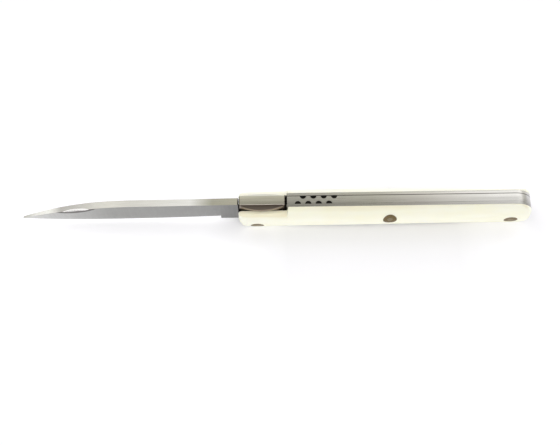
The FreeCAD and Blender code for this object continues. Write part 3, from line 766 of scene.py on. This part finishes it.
def scale_mesh(side):
    """Closed mesh of one scale: crowned outer face, flat inner face and its rim."""
    along, depth = scale_grid()
    height = scale_height(along, depth)
    rows, columns = depth.shape
    build = bmesh.new()

    def strip(row, heights):
        """Points along the scale, at one row of the grid, that stand out from the liner by some heights."""
        return [build.verts.new((HANDLE_FRONT + along[row, column] * MM,
                                 side * (SCALE_SEAT + heights[column]) * MM,
                                 SPINE_TOP - depth[row, column] * MM)) for column in range(columns)]

    outer = [strip(row, height[row]) for row in range(rows)]
    seat = np.zeros(columns)
    strips = [strip(0, seat), *outer, strip(rows - 1, seat)]
    for number, strip_points in enumerate(strips):
        before = strips[number - 1]
        for column in range(columns - 1):
            beside = column + 1
            build.faces.new((before[column], before[beside], strip_points[beside], strip_points[column]))
    for column in (0, columns - 1):
        build.faces.new([strip_points[column] for strip_points in strips])
    return finish_mesh(build, "scale")


# Seats of the rosettes in a scale: their places, and the cutter's length, its play and its sides
ROSETTE_PLACES = ("pivot", "centre", "rear")
SEAT_CUT = 10.0 * MM
SEAT_PLAY = 0.01 * MM
SEAT_SIDES = 72

# The two scales by the side of the knife, and the angle from which an edge of theirs is sharp
SIDES = {"left": -1, "right": 1}
SCALE_SHARP_ANGLE = math.radians(40)


def bore(piece, rosette):
    """Bore a rosette's seat into a scale."""
    low, high = corners(rosette)
    middle = (low + high) / 2.0
    side = math.copysign(1.0, middle.y)
    seat = min(abs(low.y), abs(high.y))
    turn = Matrix.Rotation(math.radians(90), 4, "X")
    place = Matrix.Translation((middle.x, side * (seat + SEAT_CUT / 2.0), middle.z))
    radius = (high.x - low.x) / 2.0 + SEAT_PLAY
    build = bmesh.new()
    bmesh.ops.create_cone(build, cap_ends=True, segments=SEAT_SIDES, radius1=radius, radius2=radius,
                          depth=SEAT_CUT, matrix=place @ turn)
    cutter = bpy.data.objects.new("cutter", finish_mesh(build, "cutter"))
    bpy.context.collection.objects.link(cutter)
    cut = piece.modifiers.new("rosette_seat", "BOOLEAN")
    cut.operation = "DIFFERENCE"
    cut.solver = "EXACT"
    cut.object = cutter
    return cutter


def make_scale(hand, side):
    """One cream-coloured scale with the seats of its three rosettes."""
    node = f"{hand}_scale"
    piece = bpy.data.objects.new(f"{hand}_scale_shell", scale_mesh(side))
    bpy.context.collection.objects.link(piece)
    cutters = [bore(piece, f"{hand}_{place}_rosette") for place in ROSETTE_PLACES]
    bpy.context.view_layer.update()
    cut_piece = piece.evaluated_get(bpy.context.evaluated_depsgraph_get())
    cut_mesh = bpy.data.meshes.new_from_object(cut_piece)
    piece.modifiers.clear()
    piece.data = cut_mesh
    for cutter in cutters:
        bpy.data.objects.remove(cutter)
    cut_mesh.shade_smooth()
    cut_mesh.set_sharp_from_angle(angle=SCALE_SHARP_ANGLE)
    cut_mesh.materials.append(SLOT_MATERIALS["scale_ivory"])
    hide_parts(node)
    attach(piece, "handle")


# Leaf under the lever's tail: stations along it, its round tip and chamfers, and its free length
LEAF_STATIONS = 48
LEAF_TIP_RADIUS = 0.8 * MM
LEAF_CHAMFER = 0.05 * MM


def leaf_section(half_width, low, high):
    """Corners of the leaf's chamfered section, across and up."""
    inner = half_width - LEAF_CHAMFER
    lower, upper = low + LEAF_CHAMFER, high - LEAF_CHAMFER
    return ((-inner, low), (inner, low), (half_width, lower), (half_width, upper),
            (inner, high), (-inner, high), (-half_width, upper), (-half_width, lower))


def make_leaf():
    """Leaf spring seated in the back spring, under the lever's tail."""
    low, high = corners("lever_spring")
    build = bmesh.new()
    rings = []
    for along in np.linspace(0.0, high.x - low.x, LEAF_STATIONS):
        half_width = high.y - corner_drop(LEAF_TIP_RADIUS - along, LEAF_TIP_RADIUS)
        section = leaf_section(half_width, low.z, high.z)
        rings.append([build.verts.new((low.x + along, across, up)) for across, up in section])
    for ring, following in zip(rings, rings[1:]):
        for number in range(len(ring)):
            before = number - 1
            build.faces.new((ring[before], ring[number], following[number], following[before]))
    build.faces.new(rings[0])
    build.faces.new(rings[-1])
    mesh = finish_mesh(build, "lever_leaf")
    mesh.materials.append(SLOT_MATERIALS["spring_steel"])
    piece = bpy.data.objects.new("lever_leaf", mesh)
    bpy.context.collection.objects.link(piece)
    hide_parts("lever_spring")
    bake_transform(piece)


# Half the floor's width, and its colour and own light as the knife gets them
FLOOR_HALF = 1.5
FLOOR_WHITE = (0.93, 0.93, 0.92, 1.0)
FLOOR_GLOW = 0.48

# The same as the eye sees them: its colour evens out the warm light
FLOOR_LIT = (0.81, 0.81, 0.86, 1.0)
FLOOR_LIFT = 0.07

# More own light away from the knife, and where it grows in mm
RIM_LIFT = 0.11
RIM_ACROSS = (10.0, 40.0)

# Painted light on the floor, lifting the shadows under the raised blade and round the butt: how much more
# own light, and where it grows in mm along from the front, along from the back, and across
SHADOW_LIFTS = (
    (0.30, (-150.0, -110.0), (5.0, -30.0), (70.0, 30.0)),
    (0.12, (76.0, 98.0), (190.0, 140.0), (70.0, 30.0)),
)


def floor_lift(graph):
    """Own light of the floor as the eye sees it, from place to place."""
    along = graph.axis("X")
    across = graph.math("ABSOLUTE", graph.axis("Y"))

    def grown(place, span):
        """Share that grows from 0 to 1 between two places."""
        return graph.share(place, span[0] * MM, span[1] * MM)

    lift = graph.math("MULTIPLY_ADD", grown(across, RIM_ACROSS), RIM_LIFT, FLOOR_LIFT)
    # Painted light that lifts the shadows under the blade and round the butt
    for amount, front, back, sides in SHADOW_LIFTS:
        share = graph.all_of(grown(along, front), grown(along, back), grown(across, sides))
        lift = graph.math("MULTIPLY_ADD", share, amount, lift)
    return lift


def make_floor():
    """Pale light table: keeps the handle's shadow, but painted light lifts most of the blade's and the
    butt's, and it is white elsewhere.
    """
    mesh = bpy.data.meshes.new("floor")
    square = [(-1, -1), (1, -1), (1, 1), (-1, 1)]
    mesh.from_pydata([(FLOOR_HALF * x, FLOOR_HALF * y, 0) for x, y in square], [], [(0, 1, 2, 3)])
    floor = bpy.data.objects.new("floor", mesh)
    bpy.context.collection.objects.link(floor)
    material, graph = new_material("floor_white")

    def glowing(colour, strength):
        """Diffuse surface with a light of its own."""
        diffuse = graph.add("ShaderNodeBsdfDiffuse", {"Color": colour})
        glow = graph.add("ShaderNodeEmission", {"Strength": strength})
        return graph.add("ShaderNodeAddShader", {
            0: diffuse.outputs["BSDF"], 1: glow.outputs["Emission"]}).outputs["Shader"]

    path = graph.add("ShaderNodeLightPath")
    seen = graph.math("MAXIMUM", path.outputs["Is Camera Ray"], path.outputs["Is Glossy Ray"])
    surface = graph.add("ShaderNodeMixShader", {
        "Fac": seen, 1: glowing(FLOOR_WHITE, FLOOR_GLOW), 2: glowing(FLOOR_LIT, floor_lift(graph))})
    output = graph.tree.nodes["Material Output"]
    graph.fill(output.inputs["Surface"], surface.outputs["Shader"])
    mesh.materials.append(material)


# Brightness of the surround as a light: low in front, low at the sides and behind, and overhead,
# with the directions between which it changes from front to back and from low to high
SURROUND_FRONT = 0.22
SURROUND_SIDE = 0.75
SURROUND_HIGH = 0.38
SURROUND_TINT = (1.0, 0.98, 0.90, 1.0)
SURROUND_BACKWARD = (-0.75, -0.25)
SURROUND_UPWARD = (0.35, 0.70)


def make_world():
    """Plain surround: white to the eye; as a light, dim low in front and brighter elsewhere."""
    world = bpy.data.worlds.new("studio")
    bpy.context.scene.world = world
    world.use_nodes = True
    graph = Graph(world.node_tree, "Generated")
    low = graph.remap(graph.axis("Y"), *SURROUND_BACKWARD, SURROUND_FRONT, SURROUND_SIDE)
    strength = graph.remap(graph.axis("Z"), *SURROUND_UPWARD, low, SURROUND_HIGH)
    light = graph.tree.nodes["Background"]
    graph.fill(light.inputs["Color"], SURROUND_TINT)
    graph.fill(light.inputs["Strength"], strength)
    white = graph.add("ShaderNodeBackground", {"Color": (*WHITE, 1.0)})
    path = graph.add("ShaderNodeLightPath")
    choice = graph.add("ShaderNodeMixShader", {
        "Fac": path.outputs["Is Camera Ray"],
        1: light.outputs["Background"],
        2: white.outputs["Background"],
    })
    output = graph.tree.nodes["World Output"]
    graph.fill(output.inputs["Surface"], choice.outputs["Shader"])


# Soft lamps: what they are aimed at, and each one's place, width and height, and power
KNIFE_MIDDLE = Vector((0.0, 0.0, 0.01))
SOFTBOXES = {
    "left_softbox": ((-0.53, 0.36, 0.78), (0.85, 0.85), 2.6),
    "right_softbox": ((0.53, 0.36, 0.78), (0.85, 0.85), 2.6),
    "front_softbox": ((0.0, -0.37, 0.83), (0.9, 0.4), 3.2),
}


def make_softbox(name, place, size, power):
    """Soft rectangular lamp aimed at the knife."""
    data = bpy.data.lights.new(name, "AREA")
    data.shape = "RECTANGLE"
    data.size, data.size_y = size
    data.energy = power
    lamp = bpy.data.objects.new(name, data)
    bpy.context.collection.objects.link(lamp)
    lamp.location = place
    aim = KNIFE_MIDDLE - Vector(place)
    lamp.rotation_euler = aim.to_track_quat("-Z", "Y").to_euler()


make_camera()
dress_nodes()
for hand, side in SIDES.items():
    make_scale(hand, side)
make_leaf()
make_floor()
make_world()
for name, (place, size, power) in SOFTBOXES.items():
    make_softbox(name, place, size, power)

bpy.context.scene.view_settings.view_transform = "Standard"
